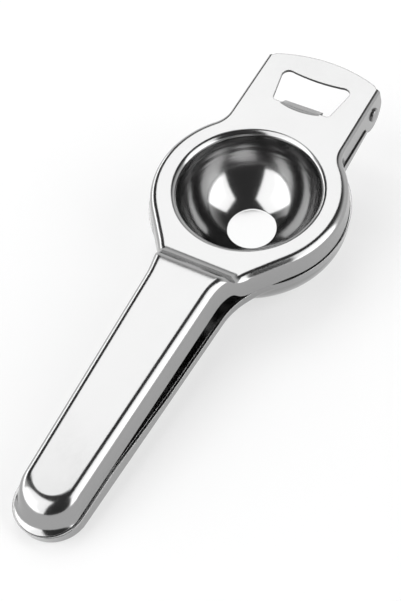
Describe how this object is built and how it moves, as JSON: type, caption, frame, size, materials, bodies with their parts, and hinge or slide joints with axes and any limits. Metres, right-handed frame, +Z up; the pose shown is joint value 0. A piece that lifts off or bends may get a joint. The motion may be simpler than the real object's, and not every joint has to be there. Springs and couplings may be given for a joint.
{
  "type": "hinged lemon squeezer",
  "caption": "Hand-held citrus press: a handled bowl swings down into a perforated strainer bowl on a short hinge, with a bottle opener in its hinge tab.",
  "frame": {"origin": "on the table surface, under the middle of the closed squeezer", "axes": "+X from the handles to the hinge, +Y across the handles along the hinge axis, +Z up"},
  "size_m": [0.1998, 0.0696, 0.0423],
  "materials": {
    "lever_steel": "polished stainless steel",
    "bowl_steel": "polished stainless steel",
    "stud_steel": "turned stainless steel"
  },
  "bodies": {
    "lower": {"lower_lever": "lever_steel", "hinge_stud_left": "stud_steel", "hinge_stud_right": "stud_steel"},
    "upper": {"upper_lever": "lever_steel", "press_bowl": "bowl_steel"}
  },
  "joints": [
    {"name": "lever_hinge", "type": "hinge", "parent": "lower", "child": "upper", "pos_m": [0.09108, 0, 0.03324], "axis": [0, 1, 0], "range_deg": [0, 150]}
  ]
}
